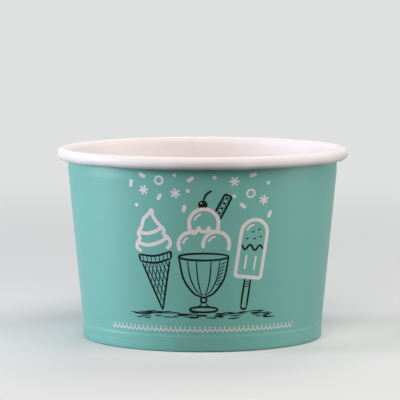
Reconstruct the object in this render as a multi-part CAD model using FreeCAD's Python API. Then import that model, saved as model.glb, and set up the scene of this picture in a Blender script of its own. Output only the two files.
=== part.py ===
import FreeCAD, Part
import math
import os

# A paper dessert cup: a short, wide tub for ice cream, open at the top, with no lid.
# It is made of two pieces of coated paperboard, as such cups are:
#   sidewall   one blank wrapped into a cone and sealed along an overlapping seam, its top edge
#              rolled outwards into the rim and its bottom edge folded in under the base
#   base_disc  a round disc with its edge turned down into a skirt, sealed between the
#              sidewall and the folded-in hem, so that the floor of the cup stands clear of the table
# The origin is the middle of the cup at table level, +Z is up and -Y is the printed front.

# Driving dimensions, in millimetres and degrees.
RIM_DIAMETER = 95.0  # across the outside of the rolled rim
CUP_HEIGHT = 62.0  # from the table to the top of the rolled rim
FOOT_DIAMETER = 78.0  # across the outside of the fold that the cup stands on

WALL_BOARD = 0.40  # thickness of the sidewall's board
BASE_BOARD = 0.35  # thickness of the base disc's board
SEAL_GAP = 0.03  # coating that melts between two sealed plies

ROLL_WIDTH = 4.0  # from the cup's inner face to the outside of the roll
ROLL_SIDE = 0.38  # upright stretch of the roll's outer side
ROLL_GAP = 0.05  # between the underside of the roll and the seam's outer ply
TUCK_RADIUS = 1.15  # bend of the sheet's end inside the roll
TUCK_ANGLE = 70.0

THROAT_HEIGHT = 3.1  # upright part of the wall that shows below the roll
THROAT_RADIUS = 12.0  # soft bend between the cone and the throat

RECESS_DEPTH = 4.3  # from the table up to the underside of the base disc
BASE_BEND_RADIUS = 0.45  # inside bend between the base disc and its skirt
HEM_STOP = 0.4  # from the hem's cut edge up to the bend of the base disc
BAND_LEAN = 3.7  # lean of the pressed seal band round the foot
FOLD_RADIUS = 0.1  # bends of the coated face at the fold, with the flat foot between them
CREASE_RISE = 0.05  # from the top of the base disc up to the crease above the seal band
CREASE_RADIUS = 1.5
CREASE_ANGLE = 14.0

SEAM_LAP = 7.0  # width of the overlap, measured round the rim's throat
SEAM_RAMP = 1.2  # width of the slope where the outer ply comes down to the wall
SEAM_SINK = 0.02  # depth at which the slope ends inside the wall's face
SEAM_BEARING = 90.0  # direction of the seam from the axis: straight behind the print
GROOVE_WIDTH = 0.5  # the inner ply's cut edge shows inside as a narrow groove
GROOVE_DEPTH = 0.15

# Values worked out from the driving dimensions.
FOLD_GAP = BASE_BOARD + 2 * SEAL_GAP  # from the coated face of the hem to that of the wall
FOLD_FLAT = (FOLD_GAP - 2 * FOLD_RADIUS) / math.cos(math.radians(BAND_LEAN))
FOLD_LEVEL = FOLD_RADIUS + WALL_BOARD  # centre of the fold's bends above the table
BAND_HEADING = 90.0 - BAND_LEAN
ROLL_TOP_RADIUS = ROLL_WIDTH / 2
ROLL_LOW_RADIUS = ROLL_TOP_RADIUS - WALL_BOARD - ROLL_GAP / 2
ROLL_HEIGHT = ROLL_TOP_RADIUS + ROLL_SIDE + ROLL_LOW_RADIUS
THROAT_FACE = RIM_DIAMETER / 2 - ROLL_WIDTH  # radius of the coated face in the throat
THROAT_FOOT = CUP_HEIGHT - ROLL_HEIGHT - THROAT_HEIGHT
BASE_TOP = RECESS_DEPTH + BASE_BOARD
CREASE_LEVEL = BASE_TOP + CREASE_RISE


def direction(heading):
    """Unit vector of a heading in the section plane, where x is the radius and z is up."""
    angle = math.radians(heading)
    return FreeCAD.Vector(math.cos(angle), 0, math.sin(angle))


def to_left(heading):
    return direction(heading + 90)


def to_right(heading):
    return direction(heading - 90)


def run(length):
    """A straight stretch of the sheet."""
    return {"length": length}


def bend(radius, angle):
    """A bend of the sheet: the angle is positive to the left, and the radius is the path's."""
    return {"radius": radius, "angle": angle}


def follow(start, heading, moves, offset=0.0):
    """Edges of the face that lies offset to the right of the path, and the path's end."""
    edges = []
    point = start
    for move in moves:
        if "length" in move:
            end = point + direction(heading) * move["length"]
            shift = to_right(heading) * offset
            edges.append(Part.LineSegment(point + shift, end + shift).toShape())
            point = end
            continue
        side = math.copysign(1, move["angle"])
        centre = point + to_left(heading) * (side * move["radius"])
        radius = move["radius"] + side * offset
        marks = [heading + share * move["angle"] for share in (0, 0.5, 1)]
        on_face = [centre + to_right(mark) * (side * radius) for mark in marks]
        edges.append(Part.Arc(*on_face).toShape())
        heading += move["angle"]
        point = centre + to_right(heading) * (side * move["radius"])
    return edges, point, heading


def sheet_section(start, heading, moves, near, far):
    """Closed section of a sheet between two offsets to the right of one path."""
    near_edges = follow(start, heading, moves, near)[0]
    far_edges = follow(start, heading, moves, far)[0]

    def cut_edge(index, end):
        tips = [edges[index].Vertexes[end].Point for edges in (near_edges, far_edges)]
        return Part.LineSegment(*tips).toShape()

    wire = Part.Wire(
        [cut_edge(0, 0)] + far_edges + [cut_edge(-1, -1)] + near_edges[::-1]
    )
    return Part.Face(wire)


def turned(section, angle=360.0, bearing=0.0):
    """The solid that a section sweeps round the cup's axis, centred on a bearing."""
    origin, axis = FreeCAD.Vector(0, 0, 0), FreeCAD.Vector(0, 0, 1)
    solid = section.revolve(origin, axis, angle)
    solid.rotate(origin, axis, bearing - angle / 2)
    return solid


def wall_moves():
    """The coated face of the sidewall from the top of the seal band to the throat's foot.

    The cone is the straight line that touches both the crease's arc and the throat's arc,
    which turns outwards instead of inwards on a cup that narrows towards the rim.
    """
    fold_centre = FreeCAD.Vector(FOOT_DIAMETER / 2 - FOLD_LEVEL, 0, FOLD_LEVEL)
    band_start = fold_centre + to_right(BAND_HEADING) * FOLD_RADIUS
    band_run = (CREASE_LEVEL - band_start.z) / math.cos(math.radians(BAND_LEAN))
    band_end = band_start + direction(BAND_HEADING) * band_run
    neck_heading = BAND_HEADING + CREASE_ANGLE
    crease_centre = (
        band_end
        + to_left(BAND_HEADING) * CREASE_RADIUS
        + to_right(neck_heading) * (2 * CREASE_RADIUS)
    )
    throat_turn = math.copysign(THROAT_RADIUS, THROAT_FACE - band_end.x)
    throat_centre = FreeCAD.Vector(THROAT_FACE - throat_turn, 0, THROAT_FOOT)
    apart = throat_centre - crease_centre
    radii = CREASE_RADIUS + throat_turn
    cone_heading = math.degrees(
        math.atan2(apart.z, apart.x) - math.asin(radii / apart.Length)
    )
    cone_run = math.sqrt(apart.Length**2 - radii**2)
    moves = [
        run(band_run),
        bend(CREASE_RADIUS, CREASE_ANGLE),
        bend(CREASE_RADIUS, cone_heading - neck_heading),
        run(cone_run),
        bend(THROAT_RADIUS, 90 - cone_heading),
    ]
    return band_start, moves


def skirt_run():
    """Straight height of the base disc's skirt, measured along the seal band."""
    bend_radius = BASE_BEND_RADIUS + BASE_BOARD
    lean = math.radians(BAND_LEAN)
    bend_start = BASE_TOP - bend_radius * (1 + math.sin(lean))
    band_start = wall_moves()[0]
    return (bend_start - band_start.z) / math.cos(lean)


def sidewall():
    """The wrapped blank: hem, fold, seal band, cone, throat and rolled rim, with its seam."""
    band_start, up_the_wall = wall_moves()
    hem_run = skirt_run() - HEM_STOP
    hem_heading = BAND_HEADING + 180
    hem = [
        run(hem_run),
        bend(FOLD_RADIUS, 180 - BAND_HEADING),
        run(FOLD_FLAT),
        bend(FOLD_RADIUS, BAND_HEADING),
    ]
    hem_top = band_start - follow(FreeCAD.Vector(0, 0, 0), hem_heading, hem)[1]
    over_the_top = [
        run(CUP_HEIGHT - ROLL_TOP_RADIUS - THROAT_FOOT),
        bend(ROLL_TOP_RADIUS, -180),
    ]
    under_and_in = [
        run(ROLL_SIDE),
        bend(ROLL_LOW_RADIUS, -180),
        bend(TUCK_RADIUS, -TUCK_ANGLE),
    ]
    whole_blank = hem + up_the_wall + over_the_top + under_and_in
    lapped = up_the_wall + over_the_top

    wall = turned(
        sheet_section(hem_top, hem_heading, whole_blank, 0, WALL_BOARD)
    )
    groove = turned(
        sheet_section(*above_the_base(), 0, GROOVE_DEPTH),
        seam_angle(GROOVE_WIDTH),
        SEAM_BEARING + seam_angle(SEAM_LAP / 2 - GROOVE_WIDTH),
    )
    return wall.fuse(seam_ply(band_start, lapped)).cut(groove).removeSplitter()


def seam_ply(start, moves):
    """The blank's outer edge, lying on its inner one and sloping down to the wall beside it."""
    root = WALL_BOARD / 2
    ply = sheet_section(start, BAND_HEADING, moves, root, 2 * WALL_BOARD)
    slope_end = sheet_section(start, BAND_HEADING, moves, root, WALL_BOARD - SEAM_SINK)
    crest = SEAM_BEARING + seam_angle(SEAM_LAP / 2 - SEAM_RAMP)
    edge = SEAM_BEARING + seam_angle(SEAM_LAP / 2)
    slope = Part.makeLoft(
        [at_bearing(ply, crest).OuterWire, at_bearing(slope_end, edge).OuterWire],
        True,
        True,
    )
    flat_angle = seam_angle(SEAM_LAP - SEAM_RAMP)
    return turned(ply, flat_angle, crest - flat_angle / 2).fuse(slope)


def at_bearing(section, bearing):
    """A copy of a section, turned about the cup's axis."""
    return section.rotated(FreeCAD.Vector(0, 0, 0), FreeCAD.Vector(0, 0, 1), bearing)


def seam_angle(width):
    """Angle round the axis that a width takes at the throat."""
    return math.degrees(width / THROAT_FACE)


def above_the_base():
    """Start, heading and moves of the coated face that shows inside the cup, up to the rim."""
    band_start, up_the_wall = wall_moves()
    start, heading = follow(band_start, BAND_HEADING, up_the_wall[:1])[1:]
    moves = up_the_wall[1:] + [
        run(CUP_HEIGHT - ROLL_TOP_RADIUS - THROAT_FOOT),
        bend(ROLL_TOP_RADIUS, -90),
    ]
    return start, heading, moves


def base_disc():
    """The disc that closes the cup, with its skirt turned down inside the seal band."""
    band_start = wall_moves()[0]
    start = band_start + to_left(BAND_HEADING) * SEAL_GAP
    moves = [run(skirt_run()), bend(BASE_BEND_RADIUS + BASE_BOARD, 90 + BAND_LEAN)]
    rim_of_disc = follow(start, BAND_HEADING, moves)[1]
    moves.append(run(rim_of_disc.x))
    return turned(sheet_section(start, BAND_HEADING, moves, 0, -BASE_BOARD))


os.makedirs("parts", exist_ok=True)
for name, shape in (("sidewall", sidewall()), ("base_disc", base_disc())):
    shape.exportStep(f"parts/{name}.step")
    box = shape.BoundBox
    print(
        f"{name}: {len(shape.Solids)} solid, valid {shape.isValid()}, {shape.Volume:.1f} mm3, "
        f"{len(shape.Faces)} faces, {box.XLength:.2f} x {box.YLength:.2f} x {box.ZLength:.2f} mm, "
        f"from z {box.ZMin:.3f} to {box.ZMax:.3f}"
    )
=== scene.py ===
"""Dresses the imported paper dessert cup: a short, wide tub of coated paperboard with a rolled rim.

The sidewall is one blank, printed outside and white inside. It is wrapped into a cone, lapped on
itself at the back, rolled outwards at the top and folded in under the base. The base is a disc
with a turned-down skirt, sealed between the wall and the folded-in hem. Everything is in metres,
in the frame of the CAD model: the origin is the middle of the cup at table level, +Z is up and -Y
is the printed front.
"""

import logging
import math
import random
from dataclasses import dataclass
from enum import Enum
from typing import Callable, Iterable, Sequence

import bpy
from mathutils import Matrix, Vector


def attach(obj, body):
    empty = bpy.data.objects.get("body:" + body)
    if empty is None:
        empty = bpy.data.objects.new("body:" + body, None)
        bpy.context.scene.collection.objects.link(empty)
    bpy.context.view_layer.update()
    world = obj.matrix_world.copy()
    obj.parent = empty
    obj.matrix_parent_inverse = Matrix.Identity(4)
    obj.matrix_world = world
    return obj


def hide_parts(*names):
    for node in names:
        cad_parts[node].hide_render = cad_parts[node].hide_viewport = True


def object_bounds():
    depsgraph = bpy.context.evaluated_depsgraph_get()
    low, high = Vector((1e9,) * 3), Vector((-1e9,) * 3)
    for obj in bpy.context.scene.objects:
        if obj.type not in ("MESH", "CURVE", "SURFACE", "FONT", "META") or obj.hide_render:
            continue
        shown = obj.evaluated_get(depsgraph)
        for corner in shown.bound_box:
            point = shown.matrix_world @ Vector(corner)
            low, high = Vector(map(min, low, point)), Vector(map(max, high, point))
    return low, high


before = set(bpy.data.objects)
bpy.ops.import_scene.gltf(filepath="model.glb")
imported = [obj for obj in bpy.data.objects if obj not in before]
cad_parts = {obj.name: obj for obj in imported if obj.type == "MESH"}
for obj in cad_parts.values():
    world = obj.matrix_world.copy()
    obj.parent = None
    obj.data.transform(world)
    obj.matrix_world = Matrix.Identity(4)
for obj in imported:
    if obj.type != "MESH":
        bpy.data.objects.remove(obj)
CAD_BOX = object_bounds()
LOG = logging.getLogger("paper_dessert_cup")
MM = 0.001
BODY = "root"
WELD = 0.001 * MM

Point = tuple[float, float]


# Small tools


def linear(hex_colour: str) -> tuple[float, float, float, float]:
    """Turns an sRGB hex colour into the linear colour that shaders take.

    Args:
        hex_colour: The colour as "#rrggbb".

    Returns:
        Linear red, green, blue and an alpha of 1.
    """
    channels = [int(hex_colour[at : at + 2], 16) / 255 for at in (1, 3, 5)]
    red, green, blue = [
        value / 12.92 if value <= 0.04045 else ((value + 0.055) / 1.055) ** 2.4
        for value in channels
    ]
    return red, green, blue, 1.0


def add_node(
    tree: bpy.types.NodeTree,
    kind: str,
    settings: dict[str, object] | None = None,
    inputs: dict[str | int, object] | None = None,
) -> bpy.types.Node:
    """Adds one shader node with its settings, its values and the links into it.

    Args:
        tree: The node tree that gets the node.
        kind: Blender's name for the node's type.
        settings: Properties of the node, such as an operation.
        inputs: Values or output sockets for its input sockets, by name or number.

    Returns:
        The new node.
    """
    node = tree.nodes.new(kind)
    for name, value in (settings or {}).items():
        setattr(node, name, value)
    for name, value in (inputs or {}).items():
        if isinstance(value, bpy.types.NodeSocket):
            tree.links.new(value, node.inputs[name])
        else:
            node.inputs[name].default_value = value
    return node


def new_material(name: str) -> bpy.types.Material:
    """Makes a material whose node tree is still empty."""
    material = bpy.data.materials.new(name)
    material.use_nodes = True
    material.node_tree.nodes.clear()
    return material


def per_metre(size_mm: float) -> float:
    """Scale of a noise whose features are about this many millimetres across."""
    return 1 / (size_mm * MM)


def deselect_all() -> None:
    """Leaves nothing selected, because every operator acts on all that is."""
    if bpy.context.object and bpy.context.object.mode != "OBJECT":
        bpy.ops.object.mode_set(mode="OBJECT")
    bpy.ops.object.select_all(action="DESELECT")


def make_active(piece: bpy.types.Object) -> None:
    """Selects one object alone and makes it the active one."""
    deselect_all()
    piece.select_set(True)
    bpy.context.view_layer.objects.active = piece


def edit_edges(
    piece: bpy.types.Object, wanted: Callable[[tuple[int, int]], bool]
) -> None:
    """Goes into edit mode with some edges selected and nothing else.

    Args:
        piece: The object to edit.
        wanted: Says of an edge, given by the numbers of its two ends, whether it is selected.
    """
    make_active(piece)
    bpy.ops.object.mode_set(mode="EDIT")
    bpy.ops.mesh.select_mode(type="EDGE")
    bpy.ops.mesh.select_all(action="DESELECT")
    bpy.ops.object.mode_set(mode="OBJECT")
    for edge in piece.data.edges:
        edge.select = wanted(tuple(edge.vertices))
    bpy.ops.object.mode_set(mode="EDIT")


# The board and its path


@dataclass(frozen=True)
class Station:
    """One point of a sheet's coated face in the section plane, with the way that it runs there."""

    radius: float
    height: float
    heading: float

    def ahead(self, distance: float) -> "Station":
        """The station reached by going straight on."""
        way = math.radians(self.heading)
        return Station(
            self.radius + distance * math.cos(way),
            self.height + distance * math.sin(way),
            self.heading,
        )

    def aside(self, distance: float) -> Point:
        """The point that lies this far to the right of the path, as (radius, height)."""
        way = math.radians(self.heading - 90)
        return (
            self.radius + distance * math.cos(way),
            self.height + distance * math.sin(way),
        )


@dataclass(frozen=True)
class Run:
    """A straight stretch of a sheet, drawn in equal steps."""

    length: float
    steps: int = 1

    def follow(self, station: Station) -> Station:
        """The next station along the stretch."""
        return station.ahead(self.length / self.steps)


@dataclass(frozen=True)
class Bend:
    """A round bend of a sheet, drawn in equal steps, with its angle positive to the left."""

    radius: float
    angle: float
    steps: int = 4

    def follow(self, station: Station) -> Station:
        """Goes one step round the bend.

        Args:
            station: The station before the step.

        Returns:
            The next station.
        """
        turn = self.angle / self.steps
        chord = 2 * self.radius * math.sin(math.radians(abs(turn) / 2))
        reached = Station(station.radius, station.height, station.heading + turn / 2)
        reached = reached.ahead(chord)
        return Station(reached.radius, reached.height, station.heading + turn)


def trace(start: Station, moves: Iterable[Run | Bend]) -> list[Station]:
    """Follows a sheet's path.

    Args:
        start: The path's first station.
        moves: The straight stretches and bends, in order.

    Returns:
        All the stations, the first one included.
    """
    stations = [start]
    for move in moves:
        for _ in range(move.steps):
            stations.append(move.follow(stations[-1]))
    return stations


@dataclass(frozen=True)
class CupSizes:
    """Sizes of the real cup, in metres and degrees, and the paths that its board follows."""

    rim_radius: float
    height: float
    foot_radius: float = 39.0 * MM
    wall_board: float = 0.40 * MM
    base_board: float = 0.35 * MM
    seal_gap: float = 0.03 * MM
    roll_width: float = 4.0 * MM
    roll_side: float = 0.38 * MM
    roll_gap: float = 0.05 * MM
    tuck_radius: float = 1.15 * MM
    tuck_angle: float = 70.0
    throat_height: float = 3.1 * MM
    throat_radius: float = 12.0 * MM
    recess_depth: float = 4.3 * MM
    base_bend_radius: float = 0.45 * MM
    hem_stop: float = 0.4 * MM
    band_lean: float = 3.7
    fold_radius: float = 0.1 * MM
    crease_rise: float = 0.05 * MM
    crease_radius: float = 1.5 * MM
    crease_angle: float = 14.0

    @property
    def band_heading(self) -> float:
        """Heading of the seal band, up the wall."""
        return 90 - self.band_lean

    @property
    def throat_face(self) -> float:
        """Radius of the coated face in the throat."""
        return self.rim_radius - self.roll_width

    @property
    def base_top(self) -> float:
        """Height of the cup's floor above the table."""
        return self.recess_depth + self.base_board

    @property
    def roll_low_radius(self) -> float:
        """Radius of the roll's lower bend, which tucks in close to the wall."""
        return self.roll_width / 2 - self.wall_board - self.roll_gap / 2

    @property
    def throat_foot(self) -> float:
        """Height at which the wall turns upright."""
        roll_height = self.roll_width / 2 + self.roll_side + self.roll_low_radius
        return self.height - roll_height - self.throat_height

    @property
    def skirt_run(self) -> float:
        """Straight height of the base disc's skirt, along the seal band."""
        lean = math.radians(self.band_lean)
        bend = self.base_bend_radius + self.base_board
        bend_start = self.base_top - bend * (1 + math.sin(lean))
        return (bend_start - self.band_start().height) / math.cos(lean)

    def band_start(self) -> Station:
        """Start of the seal band, at the outer end of the fold under the foot."""
        level = self.fold_radius + self.wall_board
        centre = Station(self.foot_radius - level, level, self.band_heading)
        return Station(*centre.aside(self.fold_radius), self.band_heading)

    def up_the_wall(self) -> list[Run | Bend]:
        """Goes from the seal band over the crease and up the cone to the throat.

        Returns:
            The moves, in order.
        """
        start = self.band_start()
        crease_level = self.base_top + self.crease_rise
        lean = math.radians(self.band_lean)
        band_run = (crease_level - start.height) / math.cos(lean)
        band_end = start.ahead(band_run)
        neck = self.band_heading + self.crease_angle
        left = band_end.aside(-self.crease_radius)
        crease = Station(*left, neck).aside(2 * self.crease_radius)
        apart = Vector(
            (
                self.throat_face - self.throat_radius - crease[0],
                self.throat_foot - crease[1],
            )
        )
        radii = self.crease_radius + self.throat_radius
        cone = math.degrees(
            math.atan2(apart.y, apart.x) - math.asin(radii / apart.length)
        )
        cone_run = math.sqrt(apart.length**2 - radii**2)
        return [
            Run(band_run, steps=4),
            Bend(self.crease_radius, self.crease_angle, steps=3),
            Bend(self.crease_radius, cone - neck, steps=2),
            Run(cone_run, steps=28),
            Bend(self.throat_radius, 90 - cone, steps=3),
        ]

    def over_the_top(self) -> list[Run | Bend]:
        """Moves up the throat and over the top of the roll."""
        run = self.height - self.roll_width / 2 - self.throat_foot
        return [Run(run, steps=3), Bend(self.roll_width / 2, -180, steps=18)]

    def under_and_in(self) -> list[Run | Bend]:
        """Moves down the roll's outer side and round into its middle."""
        return [
            Run(self.roll_side),
            Bend(self.roll_low_radius, -180, steps=14),
            Bend(self.tuck_radius, -self.tuck_angle, steps=4),
        ]

    def hem(self) -> tuple[Station, list[Run | Bend]]:
        """Goes down the hem and round the fold, from the hem's cut edge to the seal band.

        Returns:
            The first station and the moves, in order.
        """
        gap = self.base_board + 2 * self.seal_gap
        flat = (gap - 2 * self.fold_radius) / math.cos(math.radians(self.band_lean))
        moves = [
            Run(self.skirt_run - self.hem_stop, steps=4),
            Bend(self.fold_radius, 180 - self.band_heading, steps=4),
            Run(flat),
            Bend(self.fold_radius, self.band_heading, steps=4),
        ]
        down = self.band_heading + 180
        reach = trace(Station(0, 0, down), moves)[-1]
        end = self.band_start()
        start = Station(end.radius - reach.radius, end.height - reach.height, down)
        return start, moves

    def blank(self) -> list[Station]:
        """The whole blank's coated face, from the hem's cut edge to the end inside the roll."""
        start, hem = self.hem()
        moves = hem + self.up_the_wall() + self.over_the_top() + self.under_and_in()
        return trace(start, moves)

    def lap(self) -> list[Station]:
        """The coated face under the seam's outer ply, from the band up into the roll."""
        return trace(self.band_start(), self.up_the_wall() + self.over_the_top())

    def disc(self) -> list[Station]:
        """Traces the base disc's coated face, from the skirt's cut edge up and in to the middle.

        Returns:
            The stations.
        """
        start = self.band_start()
        start = Station(*start.aside(-self.seal_gap), self.band_heading)
        bend = Bend(
            self.base_bend_radius + self.base_board, 90 + self.band_lean, steps=8
        )
        moves = [Run(self.skirt_run, steps=4), bend]
        edge = trace(start, moves)[-1]
        return trace(start, moves + [Run(edge.radius, steps=12)])


# Finishes


class Slot(Enum):
    """Material slots of the record."""

    PRINTED_BOARD = "printed_board"
    WHITE_BOARD = "white_board"


@dataclass(frozen=True)
class Relief:
    """One layer of unevenness in the board's face: a noise of a real size and depth.

    A stretch below 1 draws the noise out level, round the cup.
    """

    size_mm: float
    depth: float
    detail: float
    stretch: float = 1.0

    def lay(
        self,
        tree: bpy.types.NodeTree,
        place: bpy.types.NodeSocket,
        normal: bpy.types.NodeSocket | None = None,
        strength: bpy.types.NodeSocket | float = 1.0,
    ) -> bpy.types.NodeSocket:
        """Lays the relief over the layers below it.

        Args:
            tree: The material's node tree.
            place: The Object coordinates.
            normal: The normal that the layers below give, if there are any.
            strength: How much of the relief shows, from 0 to 1.

        Returns:
            The normal with this layer on it.
        """
        drawn_out = add_node(
            tree,
            "ShaderNodeVectorMath",
            {"operation": "MULTIPLY"},
            {0: place, 1: (self.stretch, self.stretch, 1.0)},
        )
        noise = add_node(
            tree,
            "ShaderNodeTexNoise",
            inputs={
                "Vector": drawn_out.outputs["Vector"],
                "Scale": per_metre(self.size_mm),
                "Detail": self.detail,
            },
        )
        inputs = {
            "Strength": strength,
            "Height": noise.outputs["Fac"],
            "Distance": self.depth,
        }
        if normal is not None:
            inputs["Normal"] = normal
        return add_node(tree, "ShaderNodeBump", inputs=inputs).outputs["Normal"]


@dataclass(frozen=True)
class CoatedBoard:
    """Bleached paperboard, printed or plain, under a thin satin polyethylene coat.

    The coat is extruded onto the board and pressed against a matt roller. It gives the eye a soft,
    wide highlight with a faint unevenness, over paper whose fibres lie in slight clouds. The board
    is calendered level, which leaves faint streaks that run round the cup, and heated jaws leave a
    mottle in the band round the foot. Real fibres are about 0.03 mm wide, so they are drawn
    coarser than life to show at all.
    """

    name: str
    colour: str
    cloud_colour: str
    roughness: float = 0.42
    ior: float = 1.5
    specular: float = 0.5
    coat_weight: float = 0.16
    coat_roughness: float = 0.34
    cloud_mm: float = 4.0
    cloud_detail: float = 3.0
    waves: Relief = Relief(7.0, 0.020 * MM, 1.0)
    streaks: Relief = Relief(1.6, 0.04 * MM, 2.0, stretch=0.08)
    mottle: Relief = Relief(1.3, 0.09 * MM, 3.0, stretch=0.35)
    fibres: Relief = Relief(0.45, 0.010 * MM, 4.0)
    sealed_below: float = 0.0
    sealed_edge: float = 0.5 * MM

    def material(self) -> bpy.types.Material:
        """Builds the material.

        Returns:
            A material whose patterns follow Object coordinates.
        """
        material = new_material(self.name)
        tree = material.node_tree
        place = add_node(tree, "ShaderNodeTexCoord").outputs["Object"]
        clouds = add_node(
            tree,
            "ShaderNodeTexNoise",
            inputs={
                "Vector": place,
                "Scale": per_metre(self.cloud_mm),
                "Detail": self.cloud_detail,
            },
        )
        colour = add_node(
            tree,
            "ShaderNodeMix",
            {"data_type": "RGBA"},
            {
                0: clouds.outputs["Fac"],
                6: linear(self.colour),
                7: linear(self.cloud_colour),
            },
        )
        face = self.streaks.lay(tree, place, self.waves.lay(tree, place))
        if self.sealed_below:
            face = self.mottle.lay(tree, place, face, self.in_seal_band(tree, place))
        shader = add_node(
            tree,
            "ShaderNodeBsdfPrincipled",
            inputs={
                "Base Color": colour.outputs[2],
                "Roughness": self.roughness,
                "IOR": self.ior,
                "Specular IOR Level": self.specular,
                "Coat Weight": self.coat_weight,
                "Coat Roughness": self.coat_roughness,
                "Normal": self.fibres.lay(tree, place, face),
                "Coat Normal": face,
            },
        )
        add_node(
            tree, "ShaderNodeOutputMaterial", inputs={"Surface": shader.outputs[0]}
        )
        return material

    def in_seal_band(
        self, tree: bpy.types.NodeTree, place: bpy.types.NodeSocket
    ) -> bpy.types.NodeSocket:
        """Tells the seal band from the rest of the wall by its height.

        Args:
            tree: The material's node tree.
            place: The Object coordinates.

        Returns:
            A value that is 1 in the band and fades to 0 at its upper edge.
        """
        height = add_node(tree, "ShaderNodeSeparateXYZ", inputs={0: place})
        inside = add_node(
            tree,
            "ShaderNodeMapRange",
            {"interpolation_type": "SMOOTHSTEP"},
            {
                "Value": height.outputs["Z"],
                "From Min": self.sealed_below,
                "From Max": self.sealed_below - self.sealed_edge,
            },
        )
        return inside.outputs[0]


# Flexographic ink on bleached board, under the satin coat: an even teal with slight mottle.
TEAL_PRINT = CoatedBoard(
    "flexo_printed_board",
    "#79c0b6",
    "#74bab1",
    roughness=0.5,
    coat_weight=0.2,
    specular=0.45,
    sealed_below=4.65 * MM,
)
# The inside of the cup and the visible side of the roll: plain bleached board under the coat.
WHITE_COAT = CoatedBoard(
    "extrusion_coated_board",
    "#f7f1f1",
    "#f4eded",
    roughness=0.5,
    coat_weight=0.1,
    specular=0.35,
)
# The cut edge of the blank: bare fibre with no coat, duller and warmer than the faces.
CUT_EDGE = CoatedBoard(
    "die_cut_board_edge",
    "#e6ddd3",
    "#d9cec2",
    roughness=0.9,
    coat_weight=0.0,
    cloud_mm=0.6,
    fibres=Relief(0.2, 0.010 * MM, 4.0),
)
# Opaque warm-white ink and dense black ink, printed with the teal under the same coat.
PALE_INK = CoatedBoard(
    "flexo_pale_ink",
    "#f4eded",
    "#eee6e7",
    roughness=0.6,
    coat_weight=0.04,
    specular=0.3,
    cloud_mm=1.5,
)
DARK_INK = CoatedBoard(
    "flexo_dark_ink",
    "#030608",
    "#080c0e",
    roughness=0.6,
    coat_weight=0.02,
    specular=0.2,
    cloud_mm=1.5,
)


# Turned pieces


def outline_ring(name: str, outline: Sequence[Point]) -> bpy.types.Object:
    """Makes a closed ring of edges in the front half-plane, ready to be spun round the axis.

    Args:
        name: The new object's name.
        outline: Its corners as (radius, height).

    Returns:
        The ring as a mesh object.
    """
    deselect_all()
    bpy.ops.mesh.primitive_circle_add(vertices=len(outline), fill_type="NOTHING")
    ring = bpy.context.object
    ring.name = name
    ring.data.name = name
    for vertex, (radius, height) in zip(ring.data.vertices, outline):
        vertex.co = (0, -radius, height)
    return ring


def spin_round(piece: bpy.types.Object, steps: int) -> None:
    """Spins an outline once round the cup's axis and closes the shell.

    Args:
        piece: The object that holds the outline.
        steps: How many columns of faces go round.
    """
    make_active(piece)
    bpy.ops.object.mode_set(mode="EDIT")
    bpy.ops.mesh.select_all(action="SELECT")
    bpy.ops.mesh.spin(
        steps=steps, angle=math.tau, center=(0, 0, 0), axis=(0, 0, 1)
    )
    bpy.ops.mesh.select_all(action="SELECT")
    bpy.ops.mesh.remove_doubles(threshold=WELD)
    bpy.ops.mesh.normals_make_consistent(inside=False)
    bpy.ops.object.mode_set(mode="OBJECT")


def name_points(piece: bpy.types.Object, group: str, numbers: Iterable[int]) -> None:
    """Puts outline points into a vertex group, which a spin then carries round."""
    piece.vertex_groups.new(name=group).add(list(numbers), 1.0, "REPLACE")


def dress_side(piece: bpy.types.Object, group: str, slot: int) -> None:
    """Gives one material slot to the faces that lie wholly in a vertex group.

    Args:
        piece: The object to dress.
        group: The vertex group's name.
        slot: The number of the material slot.
    """
    make_active(piece)
    bpy.ops.object.mode_set(mode="EDIT")
    bpy.ops.mesh.select_mode(type="VERT")
    bpy.ops.mesh.select_all(action="DESELECT")
    bpy.ops.object.vertex_group_set_active(group=group)
    bpy.ops.object.vertex_group_select()
    piece.active_material_index = slot
    bpy.ops.object.material_slot_assign()
    bpy.ops.object.mode_set(mode="OBJECT")


def smooth(piece: bpy.types.Object, sharp_above: float = 40.0) -> None:
    """Shades a piece smooth, with edges sharper than an angle in degrees kept crisp."""
    make_active(piece)
    bpy.ops.object.shade_smooth_by_angle(angle=math.radians(sharp_above))


def recalculate_normals(piece: bpy.types.Object) -> None:
    """Turns all the faces of a closed piece outwards."""
    make_active(piece)
    bpy.ops.object.mode_set(mode="EDIT")
    bpy.ops.mesh.select_all(action="SELECT")
    bpy.ops.mesh.normals_make_consistent(inside=False)
    bpy.ops.object.mode_set(mode="OBJECT")


def bearing_of(point: Vector) -> float:
    """Direction of a point from the axis in radians: 0 at the front, positive to the right."""
    return math.atan2(point.x, -point.y)


@dataclass(frozen=True)
class PressMarks:
    """What forming leaves on the board: the uneven roll and the knurled hem."""

    dent_depth: float = 0.28 * MM
    dent_angle: float = math.radians(50)
    dent_waves: tuple[int, ...] = (9, 16, 25, 37)
    knurl_depth: float = 0.05 * MM
    knurl_start: float = 0.6 * MM
    knurl_reach: float = 0.05 * MM
    seed: int = 7

    def dents(self) -> Callable[[float], float]:
        """Makes the roll's unevenness.

        Returns:
            A function of the bearing that gives the dent there, from 0 to the full depth.
        """
        chance = random.Random(self.seed)
        waves = [(count, chance.uniform(0, math.tau)) for count in self.dent_waves]

        def dent(bearing: float) -> float:
            """Depth of the dent at a bearing."""
            total = sum(math.sin(count * bearing + phase) for count, phase in waves)
            return self.dent_depth * (0.5 + 0.5 * total / len(waves))

        return dent


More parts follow.
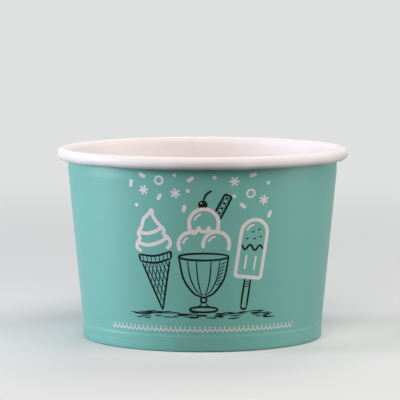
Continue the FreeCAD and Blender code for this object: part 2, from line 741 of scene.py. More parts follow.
class Sidewall:
    """The wrapped blank: hem, fold, seal band, cone, throat, rolled rim and lapped seam."""

    COLUMNS = 360
    LAP = 7.0 * MM
    LAP_RAMP = 1.2 * MM
    LAP_SINK = 0.02 * MM
    LAP_COLUMNS = 14
    RAMP_COLUMNS = 2
    GROOVE_WIDTH = 0.5 * MM
    GROOVE_DEPTH = 0.15 * MM
    GROOVE_WALL = 0.03 * MM
    GROOVE_COLUMNS = 4
    EDGE_SLOT, WHITE_SLOT, PRINT_SLOT = range(3)

    def __init__(self, sizes: CupSizes, marks: PressMarks) -> None:
        """Keeps the cup's sizes and the marks of its forming."""
        self.sizes = sizes
        self.marks = marks

    def build(self) -> bpy.types.Object:
        """Models the blank, laps it at the back and dresses its sides.

        Returns:
            The finished sidewall.
        """
        wall = self.shell()
        self.knurl_hem(wall)
        self.dent_roll(wall)
        self.sink_groove(wall)
        ply = self.outer_ply(wall)
        make_active(wall)
        ply.select_set(True)
        bpy.ops.object.join()
        smooth(wall)
        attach(wall, BODY)
        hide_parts("sidewall")
        return wall

    def shell(self) -> bpy.types.Object:
        """Spins the whole section of the blank and dresses both sides and the cut edges.

        Returns:
            The shell, closed and with its normals outwards.
        """
        stations = self.sizes.blank()
        white = [station.aside(0) for station in stations]
        printed = [station.aside(self.sizes.wall_board) for station in stations]
        wall = outline_ring("printed_sidewall", white + printed[::-1])
        name_points(wall, "white_side", range(len(white)))
        name_points(wall, "print_side", range(len(white), 2 * len(white)))
        spin_round(wall, self.COLUMNS)
        for finish in (CUT_EDGE, WHITE_COAT, TEAL_PRINT):
            wall.data.materials.append(finish.material())
        dress_side(wall, "white_side", self.WHITE_SLOT)
        dress_side(wall, "print_side", self.PRINT_SLOT)
        return wall

    def knurl_hem(self, wall: bpy.types.Object) -> None:
        """Presses fine upright ribs into the hem's inner face, as the knurling wheel does.

        Args:
            wall: The wall's shell.
        """
        hem_face = self.sizes.hem()[0].aside(self.sizes.wall_board)[0]
        for vertex in wall.data.vertices:
            point = vertex.co
            radius = math.hypot(point.x, point.y)
            low = self.marks.knurl_start < point.z < self.sizes.recess_depth
            column = round(bearing_of(point) * self.COLUMNS / math.tau)
            if low and radius < hem_face + self.marks.knurl_reach and column % 2:
                point.xy *= (radius + self.marks.knurl_depth) / radius

    def dent_roll(self, wall: bpy.types.Object) -> None:
        """Presses shallow dents into the outer and lower side of the rolled rim.

        The throat beside the roll keeps its shape, so that the print on it stays clear.

        Args:
            wall: The wall's shell.
        """
        dent = self.marks.dents()
        half = self.sizes.roll_width / 2
        middle = Vector((self.sizes.rim_radius - half, self.sizes.height - half))
        throat_limit = (
            self.sizes.throat_face + self.sizes.wall_board + self.sizes.roll_gap / 2
        )
        for vertex in wall.data.vertices:
            point = vertex.co
            radius = math.hypot(point.x, point.y)
            away = Vector((radius, point.z)) - middle
            slope = math.cos(math.atan2(away.y, away.x) + self.marks.dent_angle)
            in_throat = away.y < 0 and radius < throat_limit
            if point.z < self.sizes.throat_foot or in_throat or slope <= 0:
                continue
            away *= 1 - dent(bearing_of(point)) * slope**2 / away.length
            place = middle + away
            point.xy *= place.x / radius
            point.z = place.y

    def sink_groove(self, wall: bpy.types.Object) -> None:
        """Sinks the narrow groove that the inner ply's cut edge leaves in the white side.

        Four columns of the white side are drawn together there, and the middle two pushed in.

        Args:
            wall: The wall's shell.
        """
        turn = (self.LAP - self.GROOVE_WIDTH) / 2 / self.sizes.throat_face
        half = self.GROOVE_WIDTH / 2 / self.sizes.throat_face
        wall_turn = self.GROOVE_WALL / self.sizes.throat_face
        edges = (-half - wall_turn, -half, half, half + wall_turn)
        first = math.floor(turn * self.COLUMNS / math.tau) - 1
        white = wall.vertex_groups["white_side"].index
        roll_middle = self.sizes.rim_radius - self.sizes.roll_width / 2
        for vertex in wall.data.vertices:
            point = vertex.co
            radius = math.hypot(point.x, point.y)
            column = round(math.atan2(-point.x, point.y) * self.COLUMNS / math.tau) - first
            inside = point.z > self.sizes.base_top and radius < roll_middle
            beside = 0 <= column < self.GROOVE_COLUMNS
            if not (inside and beside and white in [g.group for g in vertex.groups]):
                continue
            sunk = radius + (self.GROOVE_DEPTH if column in (1, 2) else 0)
            bearing = turn + edges[column]
            point.xy = (-sunk * math.sin(bearing), sunk * math.cos(bearing))

    def outer_ply(self, wall: bpy.types.Object) -> bpy.types.Object:
        """Models the blank's outer edge, which lies on the inner one and slopes down beside it.

        Args:
            wall: The wall, whose materials the ply shares.

        Returns:
            The outer ply as a closed strip, rooted in the wall.
        """
        stations = self.sizes.lap()
        rows = len(stations) - 1
        deselect_all()
        bpy.ops.mesh.primitive_grid_add(
            x_subdivisions=rows, y_subdivisions=self.LAP_COLUMNS, size=2
        )
        ply = bpy.context.object
        ply.name = "seam_outer_ply"
        bpy.ops.object.mode_set(mode="EDIT")
        bpy.ops.mesh.extrude_region_move()
        bpy.ops.object.mode_set(mode="OBJECT")
        board = self.sizes.wall_board
        for vertex in ply.data.vertices:
            row = round((vertex.co.x + 1) / 2 * rows)
            column = round((vertex.co.y + 1) / 2 * self.LAP_COLUMNS)
            across = self.across_lap(column)
            climb = min(1.0, across / self.LAP_RAMP)
            offset = board / 2
            if vertex.select:
                offset = board - self.LAP_SINK + climb * (board + self.LAP_SINK)
            radius, height = stations[row].aside(offset)
            bearing = (across - self.LAP / 2) / self.sizes.throat_face
            vertex.co = (radius * math.sin(bearing), radius * math.cos(bearing), height)
        for material in wall.data.materials:
            ply.data.materials.append(material)
        for face in ply.data.polygons:
            face.material_index = self.PRINT_SLOT if face.select else self.EDGE_SLOT
        recalculate_normals(ply)
        return ply

    def across_lap(self, column: int) -> float:
        """Distance of a column of the outer ply from the foot of its slope.

        Args:
            column: The column's number, from the foot of the slope.

        Returns:
            The distance along the face.
        """
        if column <= self.RAMP_COLUMNS:
            return self.LAP_RAMP * column / self.RAMP_COLUMNS
        share = (column - self.RAMP_COLUMNS) / (self.LAP_COLUMNS - self.RAMP_COLUMNS)
        return self.LAP_RAMP + (self.LAP - self.LAP_RAMP) * share


class BaseDisc:
    """The round floor of the cup, with its edge turned down into a skirt."""

    COLUMNS = 180

    def __init__(self, sizes: CupSizes) -> None:
        """Keeps the cup's sizes."""
        self.sizes = sizes

    def build(self) -> bpy.types.Object:
        """Models the disc as one closed shell and dresses it.

        Returns:
            The finished base disc.
        """
        stations = self.sizes.disc()
        upper = [station.aside(0) for station in stations]
        lower = [station.aside(-self.sizes.base_board) for station in stations]
        disc = outline_ring("coated_base_disc", upper + lower[::-1])
        self.open_at_axis(disc, len(upper))
        spin_round(disc, self.COLUMNS)
        disc.data.materials.append(WHITE_COAT.material())
        smooth(disc)
        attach(disc, BODY)
        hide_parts("base_disc")
        return disc

    def open_at_axis(self, disc: bpy.types.Object, count: int) -> None:
        """Takes out the outline's edge on the axis, so that both faces close in a pole.

        Args:
            disc: The outline of the disc.
            count: How many of its points belong to the upper face.
        """
        edit_edges(disc, lambda ends: set(ends) == {count - 1, count})
        bpy.ops.mesh.delete(type="EDGE")
        bpy.ops.object.mode_set(mode="OBJECT")


# Print


class Ink(Enum):
    """The two inks over the teal, by the name of the film that each leaves."""

    PALE = "pale_print"
    DARK = "dark_print"


@dataclass(frozen=True)
class Nib:
    """A drawing tool: its ink, its line's width and how wide the line's ends stay."""

    ink: Ink
    width: float
    tip: float = 1.0

    THINNEST = 0.01

    def half_width(self, at: float, length: float) -> float:
        """Half the line's width in millimetres.

        Args:
            at: Distance from the line's start.
            length: The line's length.

        Returns:
            Half the width there, rounded off or thinned out towards both ends.
        """
        half = self.width / 2
        from_end = min(at, length - at, half)
        cap = math.sqrt(max(0.0, half**2 - (half - from_end) ** 2))
        swell = math.sqrt(max(0.0, math.sin(math.pi * at / length)))
        return max(self.THINNEST, cap * (self.tip + (1 - self.tip) * swell))


MARKER = Nib(Ink.PALE, 1.15)
FINE_MARKER = Nib(Ink.PALE, 0.62)
THIN_MARKER = Nib(Ink.PALE, 0.34)
PEN = Nib(Ink.DARK, 0.7, 0.75)
ENGRAVER = Nib(Ink.DARK, 0.46, 0.45)
HATCHER = Nib(Ink.DARK, 0.36, 0.25)


@dataclass(frozen=True)
class Stroke:
    """One line of a drawing, in millimetres."""

    nib: Nib
    path: tuple[Point, ...]

    SPACING = 0.3
    END_SHARES = (0.0, 0.04, 0.15, 0.35, 0.65)

    def moved(self, at: Point, tilt: float, scale: float) -> "Stroke":
        """The stroke scaled, turned and put somewhere else.

        Args:
            at: Where its origin goes.
            tilt: The angle in degrees by which it turns to the left.
            scale: The factor by which its path grows.

        Returns:
            The new stroke, with the same tool.
        """
        turn = math.radians(tilt)
        cosine, sine = scale * math.cos(turn), scale * math.sin(turn)
        path = tuple(
            (at[0] + x * cosine - y * sine, at[1] + x * sine + y * cosine)
            for x, y in self.path
        )
        return Stroke(self.nib, path)

    def samples(self) -> list[tuple[float, float, float]]:
        """Points along the stroke, close together at its ends.

        Returns:
            Each point's x, y and half width.
        """
        lengths = [0.0]
        for start, end in zip(self.path, self.path[1:]):
            lengths.append(lengths[-1] + math.dist(start, end))
        total = lengths[-1]
        half = min(self.nib.width / 2, total / 2)
        ends = [half * share for share in self.END_SHARES]
        inner = max(1, math.ceil((total - 2 * half) / self.SPACING))
        middle = [half + (total - 2 * half) * n / inner for n in range(inner + 1)]
        places = sorted({*ends, *middle, *(total - end for end in ends)})
        found = []
        leg = 0
        for place in places:
            while leg < len(self.path) - 2 and lengths[leg + 1] < place:
                leg += 1
            share = (place - lengths[leg]) / (lengths[leg + 1] - lengths[leg])
            start, end = self.path[leg], self.path[leg + 1]
            x = start[0] + share * (end[0] - start[0])
            y = start[1] + share * (end[1] - start[1])
            found.append((x, y, self.nib.half_width(place, total)))
        return found


class Sketch:
    """A motif drawn from lines, curves, arcs and dots, in millimetres."""

    CURVE_STEPS = 8
    ARC_STEP = 6
    FEWEST_ARC_STEPS = 6

    def __init__(self) -> None:
        """Starts with nothing drawn."""
        self.strokes: list[Stroke] = []

    def line(self, nib: Nib, start: Point, end: Point) -> None:
        """Draws a straight line."""
        self.strokes.append(Stroke(nib, (start, end)))

    def curve(self, nib: Nib, *points: Point) -> None:
        """Draws one smooth line through a few points.

        Args:
            nib: The tool.
            points: Two or more points, in order.
        """
        first = (2 * points[0][0] - points[1][0], 2 * points[0][1] - points[1][1])
        last = (2 * points[-1][0] - points[-2][0], 2 * points[-1][1] - points[-2][1])
        knots = (first, *points, last)
        path = []
        for before, start, end, after in zip(knots, knots[1:], knots[2:], knots[3:]):
            for step in range(self.CURVE_STEPS):
                at = step / self.CURVE_STEPS
                path.append(
                    tuple(
                        self.blend(before[k], start[k], end[k], after[k], at)
                        for k in (0, 1)
                    )
                )
        path.append(points[-1])
        self.strokes.append(Stroke(nib, tuple(path)))

    @staticmethod
    def blend(before: float, start: float, end: float, after: float, at: float) -> float:
        """Value on the Catmull-Rom curve from start to end."""
        return 0.5 * (
            2 * start
            + (end - before) * at
            + (2 * before - 5 * start + 4 * end - after) * at**2
            + (3 * start - before - 3 * end + after) * at**3
        )

    @classmethod
    def bow(cls, centre: Point, radii: Point, start: float, end: float) -> list[Point]:
        """Points along a part of an upright ellipse.

        Args:
            centre: The ellipse's middle.
            radii: Its half width and half height.
            start: Angle in degrees at which the part starts, from +x.
            end: Angle in degrees at which it ends.

        Returns:
            The points, in order.
        """
        steps = max(cls.FEWEST_ARC_STEPS, round(abs(end - start) / cls.ARC_STEP))
        angles = [
            math.radians(start + (end - start) * step / steps) for step in range(steps + 1)
        ]
        return [
            (centre[0] + radii[0] * math.cos(a), centre[1] + radii[1] * math.sin(a))
            for a in angles
        ]

    def outline(self, nib: Nib, *paths: Sequence[Point]) -> None:
        """Draws several paths as one line without lifting the tool."""
        self.strokes.append(Stroke(nib, tuple(point for path in paths for point in path)))

    def arc(
        self, nib: Nib, centre: Point, radii: Point, start: float, end: float
    ) -> None:
        """Draws a part of an upright ellipse, given as for bow."""
        self.outline(nib, self.bow(centre, radii, start, end))

    def ring(self, nib: Nib, centre: Point, radii: Point) -> None:
        """Draws a whole upright ellipse, whose line runs on over its own rounded start."""
        overlap = math.degrees(nib.width / radii[1])
        self.arc(nib, centre, radii, 0, 360 + overlap)

    def dot(self, ink: Ink, centre: Point, size: float) -> None:
        """Draws a round dot."""
        left = (centre[0] - size / 2, centre[1])
        right = (centre[0] + size / 2, centre[1])
        self.strokes.append(Stroke(Nib(ink, size), (left, right)))

    def both_sides(self, nib: Nib, *points: Point) -> None:
        """Draws a smooth line and its mirror image."""
        self.curve(nib, *points)
        self.curve(nib, *[(-x, y) for x, y in points])

    def put(
        self, motif: "Sketch", at: Point, tilt: float = 0.0, scale: float = 1.0
    ) -> None:
        """Puts another motif into this drawing."""
        self.strokes += [stroke.moved(at, tilt, scale) for stroke in motif.strokes]


class Sprinkle(Enum):
    """Kinds of small pale marks strewn above the motifs."""

    DASH = 1
    DOT = 2
    RING = 3
    STAR = 4


@dataclass(frozen=True)
class DessertDrawing:
    """The two-ink drawing on the cup's front, in millimetres: x to the right, y above the table."""

    sundae_at: Point = (0.4, 12.8)
    cone_at: Point = (-13.2, 13.4)
    cone_tilt: float = 7.0
    lolly_at: Point = (13.6, 13.6)
    lolly_tilt: float = -7.0
    ground_half: float = 23.5
    ground_top: float = 12.9
    ground_depth: float = 2.3
    ground_lines: int = 74
    ground_crowding: float = 1.6
    ground_reach: Point = (0.9, 2.6)
    ground_slope: float = 0.2
    row_height: float = 7.1
    row_half: float = 33.0
    row_pitch: float = 1.65
    scallop_at: float = 0.5
    scallop_radii: Point = (0.62, 0.95)
    row_dot_at: float = 0.9
    row_dot: float = 0.5
    dash_half: float = 1.2
    dot_size: float = 1.2
    ring_radius: float = 1.2
    star_radius: float = 1.6
    seed: int = 11

    def strokes(self) -> list[Stroke]:
        """Draws everything.

        Returns:
            The strokes of both inks.
        """
        sheet = Sketch()
        sheet.put(self.sundae(), self.sundae_at)
        sheet.put(self.waffle_cone(), self.cone_at, self.cone_tilt)
        sheet.put(self.ice_lolly(), self.lolly_at, self.lolly_tilt)
        sheet.put(self.sprinkles(), (0, 0))
        sheet.put(self.ground(), (0, 0))
        sheet.put(self.scalloped_row(), (0, self.row_height))
        return sheet.strokes

    def sundae(self) -> Sketch:
        """Draws a fluted glass with three scoops, a cherry and a wafer.

        Returns:
            The motif.
        """
        motif = Sketch()
        motif.ring(PEN, (0, 0.9), (4.6, 0.85))
        motif.both_sides(ENGRAVER, (3.3, 1.5), (1.3, 2.1), (0.75, 3.2))
        motif.ring(PEN, (0, 4.0), (0.95, 0.85))
        motif.both_sides(PEN, (0.6, 4.9), (3.4, 6.3), (6.5, 10.8), (7.9, 17.6))
        motif.ring(PEN, (0, 17.7), (7.9, 1.1))
        for share in (0.3, 0.66):
            motif.both_sides(
                ENGRAVER,
                (0.7 * share, 5.4),
                (3.6 * share, 7.0),
                (6.5 * share, 11.0),
                (7.9 * share, 16.7),
            )
        for step in range(7):
            y = 8.6 + 1.1 * step
            x = 3.9 + 0.27 * step
            motif.line(HATCHER, (x, y), (x + 1.5, y + 0.9))
        motif.arc(MARKER, (-4.0, 21.6), (3.9, 3.9), 62, 212)
        motif.arc(MARKER, (3.9, 21.6), (4.1, 4.1), -28, 196)
        motif.arc(FINE_MARKER, (3.9, 21.6), (2.6, 2.6), 95, 160)
        motif.arc(FINE_MARKER, (-4.0, 21.6), (2.4, 2.4), 110, 175)
        motif.arc(MARKER, (0, 28.4), (4.5, 4.5), -24, 204)
        for x in (-3.0, 0.0, 3.0):
            motif.arc(MARKER, (x, 27.0), (1.5, 1.3), 160, 380)
        motif.arc(FINE_MARKER, (0, 28.4), (3.0, 3.0), 105, 165)
        motif.dot(Ink.DARK, (-0.3, 34.2), 2.9)
        motif.dot(Ink.PALE, (-0.8, 34.7), 0.55)
        motif.curve(PEN, (-0.1, 35.6), (0.7, 37.4), (2.4, 38.7))
        motif.put(self.wafer(), (4.0, 30.3), -27)
        return motif

    def wafer(self) -> Sketch:
        """Draws a crossed wafer that stands up from its middle foot.

        Returns:
            The motif.
        """
        motif = Sketch()
        motif.line(PEN, (-1.2, 0.4), (-1.2, 7.6))
        motif.line(PEN, (1.2, -0.2), (1.2, 7.6))
        motif.line(PEN, (-1.2, 7.6), (1.2, 7.6))
        for step in range(4):
            motif.line(HATCHER, (-1.2, 0.6 + 1.7 * step), (1.2, 2.3 + 1.7 * step))
            motif.line(HATCHER, (1.2, 0.6 + 1.7 * step), (-1.2, 2.3 + 1.7 * step))
        return motif

    def waffle_cone(self) -> Sketch:
        """Draws a waffle cone on its tip, with a swirl of soft ice.

        Returns:
            The motif.
        """
        motif = Sketch()
        half, top = 4.7, 15.4
        motif.line(PEN, (0, 0), (-half, top))
        motif.line(PEN, (0, 0), (half, top))
        for step in range(1, 7):
            share = step / 7
            rise = (half * share, top * share)
            reach = (half * (2 * share - 1), top)
            motif.line(HATCHER, rise, reach)
            motif.line(HATCHER, (-rise[0], rise[1]), (-reach[0], reach[1]))
        motif.curve(PEN, (-5.2, 16.0), (0, 15.1), (5.2, 16.0))
        motif.curve(PEN, (-5.5, 18.2), (0, 17.3), (5.5, 18.2))
        motif.line(PEN, (-5.2, 16.0), (-5.5, 18.2))
        motif.line(PEN, (5.2, 16.0), (5.5, 18.2))
        for step in range(-3, 4):
            sag = 0.9 * (step / 3.6) ** 2
            motif.line(HATCHER, (1.35 * step, 15.4 + sag), (1.42 * step, 17.2 + sag))
        motif.curve(
            MARKER,
            (-4.3, 19.1),
            (-5.7, 20.5),
            (-5.1, 22.3),
            (-4.2, 23.2),
            (-4.5, 24.9),
            (-3.5, 26.2),
            (-2.7, 27.4),
            (-1.9, 29.2),
            (0.2, 30.8),
            (1.2, 31.9),
            (1.5, 30.7),
        )
        motif.curve(
            MARKER,
            (4.3, 19.1),
            (5.7, 20.8),
            (5.1, 22.8),
            (4.0, 23.8),
            (4.2, 25.4),
            (3.1, 26.8),
            (2.3, 28.0),
            (1.5, 29.5),
            (1.1, 30.9),
        )
        motif.curve(MARKER, (-5.0, 21.9), (-1.7, 20.9), (2.3, 21.5), (4.9, 22.8))
        motif.curve(MARKER, (-4.2, 25.2), (-1.3, 24.6), (1.6, 25.1), (3.7, 26.1))
        return motif

    def ice_lolly(self) -> Sketch:
        """Draws a round-topped ice lolly with a wavy dip, on its stick.

        Returns:
            The motif.
        """
        motif = Sketch()
        motif.line(PEN, (-1.0, 1.0), (-1.0, 9.6))
        motif.line(PEN, (1.0, 1.0), (1.0, 9.6))
        motif.arc(PEN, (0, 1.0), (1.0, 1.0), 180, 360)
        for step in range(3):
            motif.line(HATCHER, (-0.7, 7.2 + 0.8 * step), (0.7, 7.5 + 0.8 * step))
        motif.outline(
            MARKER,
            motif.bow((-3.8, 10.9), (0.6, 0.6), 270, 180),
            motif.bow((0, 24.2), (4.4, 4.4), 180, 0),
            motif.bow((3.8, 10.9), (0.6, 0.6), 0, -90),
            [(-3.9, 10.3), (-4.2, 10.45)],
        )
        motif.line(FINE_MARKER, (-1.6, 12.7), (-1.6, 17.2))
        motif.line(FINE_MARKER, (1.6, 12.7), (1.6, 17.2))
        motif.arc(FINE_MARKER, (0, 24.2), (2.8, 2.8), 100, 165)
        motif.curve(
            PEN,
            (-3.7, 20.4),
            (-2.4, 18.9),
            (-0.9, 20.6),
            (0.9, 19.0),
            (2.4, 20.7),
            (3.7, 19.6),
        )
        for x, y in ((-2.2, 22.4), (0.3, 22.6), (2.3, 23.4), (-0.6, 24.7), (1.4, 25.6)):
            motif.line(ENGRAVER, (x - 0.45, y - 0.2), (x + 0.45, y + 0.25))
        return motif

    def sprinkles(self) -> Sketch:
        """Draws dashes, dots, rings and stars strewn over the motifs.

        Returns:
            The motif.
        """
        motif = Sketch()
        places = (
            (-18.2, 51.4, Sprinkle.STAR, 10),
            (-8.2, 50.6, Sprinkle.STAR, 40),
            (9.6, 54.3, Sprinkle.STAR, 0),
            (19.2, 48.2, Sprinkle.STAR, 25),
            (-13.2, 54.6, Sprinkle.RING, 0),
            (-3.6, 55.0, Sprinkle.DASH, 35),
            (14.8, 50.4, Sprinkle.RING, 0),
            (3.6, 55.6, Sprinkle.DOT, 0),
            (-18.6, 56.0, Sprinkle.DASH, -25),
            (-8.4, 56.3, Sprinkle.DOT, 0),
            (-13.2, 49.4, Sprinkle.DASH, 60),
            (-20.8, 46.6, Sprinkle.DOT, 0),
            (-5.6, 45.8, Sprinkle.DASH, 75),
            (-4.4, 51.4, Sprinkle.DOT, 0),
            (15.4, 56.2, Sprinkle.DASH, 20),
            (20.4, 53.6, Sprinkle.DOT, 0),
            (12.4, 46.6, Sprinkle.DASH, -40),
            (9.6, 49.6, Sprinkle.DOT, 0),
            (21.4, 43.6, Sprinkle.DASH, 70),
            (-22.4, 53.4, Sprinkle.DASH, 80),
        )
        for x, y, kind, tilt in places:
            motif.put(self.sprinkle(kind), (x, y), tilt)
        return motif

    def sprinkle(self, kind: Sprinkle) -> Sketch:
        """One mark, about its own middle.

        Args:
            kind: What mark it is.

        Returns:
            The mark, level.
        """
        motif = Sketch()
        if kind is Sprinkle.DASH:
            motif.line(MARKER, (-self.dash_half, 0), (self.dash_half, 0))
        elif kind is Sprinkle.DOT:
            motif.dot(Ink.PALE, (0, 0), self.dot_size)
        elif kind is Sprinkle.RING:
            motif.ring(FINE_MARKER, (0, 0), (self.ring_radius, self.ring_radius))
        else:
            for turn in (0, 60, 120):
                angle = math.radians(turn)
                x = self.star_radius * math.cos(angle)
                y = self.star_radius * math.sin(angle)
                motif.line(FINE_MARKER, (-x, -y), (x, y))
        return motif

    def ground(self) -> Sketch:
        """Draws rough level hatching under the motifs.

        Returns:
            The motif.
        """
        motif = Sketch()
        chance = random.Random(self.seed)
        for _ in range(self.ground_lines):
            x = chance.uniform(-self.ground_half, self.ground_half)
            y = self.ground_top - self.ground_depth * chance.random() ** self.ground_crowding
            reach = chance.uniform(*self.ground_reach)
            rise = chance.uniform(-self.ground_slope, self.ground_slope)
            motif.line(HATCHER, (x - reach, y), (x + reach, y + rise))
        return motif

    def scalloped_row(self) -> Sketch:
        """Draws a row of small scallops and dots near the foot.

        Returns:
            The motif.
        """
        motif = Sketch()
        count = round(self.row_half / self.row_pitch)
        for step in range(-count, count + 1):
            x = step * self.row_pitch
            motif.arc(THIN_MARKER, (x, self.scallop_at), self.scallop_radii, 180, 360)
            middle = x + self.row_pitch / 2
            motif.dot(Ink.PALE, (middle, self.row_dot_at), self.row_dot)
        return motif


class PrintedFace:
    """The cone's printed face, on which the flat drawing is rolled."""

    MIDDLE = 32.0 * MM

    def __init__(self, sizes: CupSizes) -> None:
        """Traces the face from the seal band up to the throat."""
        moves = sizes.up_the_wall() + sizes.over_the_top()[:1]
        stations = trace(sizes.band_start(), moves)
        self.outline = [station.aside(sizes.wall_board) for station in stations]

    def radius(self, height: float) -> float:
        """Radius of the face at a height above the table.

        Args:
            height: The height, between the seal band's foot and the throat's top.

        Returns:
            The radius there.
        """
        for (inner, low), (outer, high) in zip(self.outline, self.outline[1:]):
            if height <= high:
                break
        return inner + (outer - inner) * (height - low) / (high - low)

    def rolled(self, flat: Vector) -> Vector:
        """Finds where a point of the flat drawing lies on the cup.

        Args:
            flat: The point: x to the right, y above the table and z off the face.

        Returns:
            Its place on the cup.
        """
        bearing = flat.x / self.radius(self.MIDDLE)
        radius = self.radius(flat.y) + flat.z
        return Vector((radius * math.sin(bearing), -radius * math.cos(bearing), flat.y))


class PrintedInk:
    """All the strokes of one ink, as a thin film half sunk in the printed face.

    A real film is about 0.002 mm thick. This one is thicker, to stay clear of the wall's facets.
    """

    FLATNESS = 0.04
    FILM = 0.012 * MM
    PALE_LIFT = 0.006 * MM
    LEVELS = 5
    LEVEL = 5.0 * MM
    LEVEL_STEP = 0.0005 * MM

    def __init__(self, ink: Ink, strokes: Sequence[Stroke], face: PrintedFace) -> None:
        """Keeps the ink's own strokes and the face that they go on."""
        self.ink = ink
        self.strokes = [stroke for stroke in strokes if stroke.nib.ink is ink]
        self.face = face

    def build(self) -> bpy.types.Object:
        """Draws the strokes flat, presses them thin and rolls them on to the face.

        Returns:
            The ink film.
        """
        film = self.drawn_flat()
        lift = self.PALE_LIFT if self.ink is Ink.PALE else 0.0
        for vertex in film.data.vertices:
            level = round(vertex.co.z / self.LEVEL)
            height = (vertex.co.z - level * self.LEVEL) * self.FLATNESS
            pressed = max(-self.FILM, min(self.FILM, height))
            vertex.co.z = lift + level * self.LEVEL_STEP + pressed
            vertex.co = self.face.rolled(vertex.co)
        recalculate_normals(film)
        finish = PALE_INK if self.ink is Ink.PALE else DARK_INK
        film.data.materials.append(finish.material())
        smooth(film)
        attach(film, BODY)
        return film

    def drawn_flat(self) -> bpy.types.Object:
        """Draws the strokes as round lines of changing width and makes them a mesh.

        Strokes that follow each other are drawn on levels apart, so that their faces never fall
        together where they cross.

        Returns:
            The mesh of all the strokes, laid out flat.
        """
        deselect_all()
        bpy.ops.curve.primitive_nurbs_path_add()
        pen = bpy.context.object
        pen.name = self.ink.value
        pen.data.splines.clear()
        pen.data.bevel_depth = 1.0
        pen.data.bevel_resolution = 1
        pen.data.use_fill_caps = True
        pen.data.twist_mode = "Z_UP"
        for number, stroke in enumerate(self.strokes):
            level = number % self.LEVELS * self.LEVEL
            samples = stroke.samples()
            spline = pen.data.splines.new("POLY")
            spline.points.add(len(samples) - 1)
            for point, (x, y, half) in zip(spline.points, samples):
                point.co = (x * MM, y * MM, level, 1)
                point.radius = half * MM
        bpy.ops.object.convert(target="MESH")
        return bpy.context.object


# Studio


@dataclass(frozen=True)
class Softbox:
    """One soft studio lamp, placed by its bearing from the front, its elevation and its distance.

    The angles are in degrees, and the lamp is turned to the cup's middle height.
    """

    name: str
    bearing: float
    elevation: float
    power: float
    colour: str
    distance: float = 0.9
    width: float = 0.4
    height: float = 0.6
    aim: float = 30.0 * MM

    def build(self) -> bpy.types.Object:
        """Hangs the lamp and turns it to the cup.

        Returns:
            The lamp object.
        """
        deselect_all()
        bpy.ops.object.light_add(type="AREA")
        lamp = bpy.context.object
        lamp.name = self.name
        lamp.data.shape = "RECTANGLE"
        lamp.data.size = self.width
        lamp.data.size_y = self.height
        lamp.data.energy = self.power
        lamp.data.color = linear(self.colour)[:3]
        turn, rise = math.radians(self.bearing), math.radians(self.elevation)
        target = Vector((0, 0, self.aim))
        away = Vector(
            (
                math.sin(turn) * math.cos(rise),
                -math.cos(turn) * math.cos(rise),
                math.sin(rise),
            )
        )
        lamp.location = target + away * self.distance
        lamp.rotation_euler = away.to_track_quat("Z", "Y").to_euler()
        return lamp


SOFTBOXES = (
    Softbox("left_softbox", -88, 4, 11.6, "#e8f2ff"),
    Softbox("right_softbox", 86, 6, 4.7, "#fffffa"),
    Softbox("front_softbox", -6, 40, 3.35, "#fff5ee"),
    Softbox("crown_softbox", 34, 62, 2.8, "#fff8f6", width=0.5, height=0.5),
    Softbox("back_softbox", 170, 50, 2.2, "#ffffff"),
)


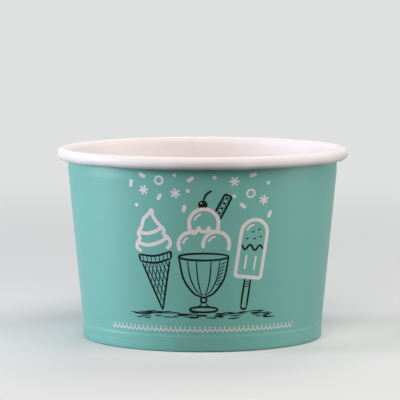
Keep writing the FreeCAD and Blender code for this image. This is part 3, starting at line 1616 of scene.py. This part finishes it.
class Studio:
    """The plain pale floor, the soft lamps, the dim room and the camera."""

    FLOOR_SIZE = 4.0
    SWEEP_RADIUS = 1.0
    SWEEP_STEPS = 24
    BACKDROP_RISE = 2.0
    PAPER_ROUGHNESS = 0.9
    PALE_SIGHT = "#e4e6e6"
    DIM_BOUNCE = "#585c5c"
    FAR_COLOUR = "#dfe1e1"
    LIT_RADIUS = 0.12
    FAR_RADIUS = 0.6
    ROOM_STRENGTH = 0.04

    # The camera that a fit to the rim, the outline and the foot gives, in millimetres and degrees.
    CAMERA_BACK = 846.5
    CAMERA_HEIGHT = 125.2
    CAMERA_PITCH = 5.45
    CAMERA_TURN = 0.055
    FOCAL_PIXELS = 2594.7
    PHOTO_PIXELS = 400
    SENSOR_WIDTH = 36.0

    def build(self) -> None:
        """Makes the whole studio."""
        self.floor()
        for softbox in SOFTBOXES:
            softbox.build()
        self.room()
        self.camera()
        bpy.context.scene.view_settings.view_transform = "Standard"

    def floor(self) -> None:
        """Lays the floor and sweeps it up into a backdrop far behind the cup."""
        deselect_all()
        bpy.ops.mesh.primitive_plane_add(size=self.FLOOR_SIZE)
        floor = bpy.context.object
        floor.name = "pale_floor"
        far = self.FLOOR_SIZE / 2
        corners = floor.data.vertices
        edit_edges(floor, lambda ends: all(corners[end].co.y > 0 for end in ends))
        bpy.ops.mesh.spin(
            steps=self.SWEEP_STEPS,
            angle=math.pi / 2,
            center=(0, far, self.SWEEP_RADIUS),
            axis=(1, 0, 0),
        )
        bpy.ops.mesh.extrude_region_move(
            TRANSFORM_OT_translate={"value": (0, 0, self.BACKDROP_RISE)}
        )
        bpy.ops.object.mode_set(mode="OBJECT")
        floor.data.materials.append(self.floor_material())
        smooth(floor)

    def floor_material(self) -> bpy.types.Material:
        """Matt seamless paper, seen and mirrored pale, that throws little light back up.

        Returns:
            The floor's material.
        """
        material = new_material("matt_seamless_paper")
        tree = material.node_tree
        path = add_node(tree, "ShaderNodeLightPath")
        mirrored = add_node(
            tree,
            "ShaderNodeMath",
            {"operation": "ADD"},
            {0: path.outputs["Is Glossy Ray"], 1: path.outputs["Is Transmission Ray"]},
        )
        seen = add_node(
            tree,
            "ShaderNodeMath",
            {"operation": "ADD", "use_clamp": True},
            {0: path.outputs["Is Camera Ray"], 1: mirrored.outputs[0]},
        )
        colour = add_node(
            tree,
            "ShaderNodeMix",
            {"data_type": "RGBA"},
            {
                0: seen.outputs[0],
                6: linear(self.DIM_BOUNCE),
                7: linear(self.PALE_SIGHT),
            },
        )
        paper = add_node(
            tree,
            "ShaderNodeBsdfPrincipled",
            inputs={"Base Color": colour.outputs[2], "Roughness": self.PAPER_ROUGHNESS},
        )
        # Away from the cup the paper glows in its own colour, because no lamp reaches it there.
        glow = add_node(
            tree,
            "ShaderNodeEmission",
            inputs={"Color": linear(self.FAR_COLOUR), "Strength": 1.0},
        )
        place = add_node(tree, "ShaderNodeTexCoord").outputs["Object"]
        distance = add_node(
            tree, "ShaderNodeVectorMath", {"operation": "LENGTH"}, {0: place}
        )
        far = add_node(
            tree,
            "ShaderNodeMapRange",
            {"interpolation_type": "SMOOTHSTEP"},
            {
                "Value": distance.outputs["Value"],
                "From Min": self.LIT_RADIUS,
                "From Max": self.FAR_RADIUS,
            },
        )
        share = add_node(
            tree,
            "ShaderNodeMath",
            {"operation": "MULTIPLY"},
            {0: far.outputs[0], 1: seen.outputs[0]},
        )
        both = add_node(
            tree,
            "ShaderNodeMixShader",
            inputs={0: share.outputs[0], 1: paper.outputs[0], 2: glow.outputs[0]},
        )
        add_node(
            tree, "ShaderNodeOutputMaterial", inputs={"Surface": both.outputs[0]}
        )
        return material

    def room(self) -> None:
        """Gives the room a dim, even light."""
        world = bpy.data.worlds.new("dim_room")
        world.use_nodes = True
        background = world.node_tree.nodes["Background"]
        background.inputs["Color"].default_value = linear("#ffffff")
        background.inputs["Strength"].default_value = self.ROOM_STRENGTH
        bpy.context.scene.world = world

    def camera(self) -> None:
        """Sets the camera where the photograph was taken from."""
        deselect_all()
        bpy.ops.object.camera_add(
            location=(0, -self.CAMERA_BACK * MM, self.CAMERA_HEIGHT * MM),
            rotation=(
                math.radians(90 - self.CAMERA_PITCH),
                0,
                math.radians(self.CAMERA_TURN),
            ),
        )
        camera = bpy.context.object
        camera.name = "photo_camera"
        camera.data.sensor_width = self.SENSOR_WIDTH
        camera.data.lens = self.FOCAL_PIXELS / self.PHOTO_PIXELS * self.SENSOR_WIDTH
        bpy.context.scene.camera = camera


def main() -> None:
    """Builds the cup and its studio, and reports each piece."""
    logging.basicConfig(level=logging.INFO, format="%(message)s")
    low, high = CAD_BOX
    sizes = CupSizes(rim_radius=(high.x - low.x) / 2, height=high.z)
    marks = PressMarks()
    face = PrintedFace(sizes)
    strokes = DessertDrawing().strokes()
    makers = [Sidewall(sizes, marks), BaseDisc(sizes)]
    makers += [PrintedInk(ink, strokes, face) for ink in Ink]
    for maker in makers:
        piece = maker.build()
        LOG.info("%s: %d faces", piece.name, len(piece.data.polygons))
    Studio().build()


if __name__ == "__main__":
    main()
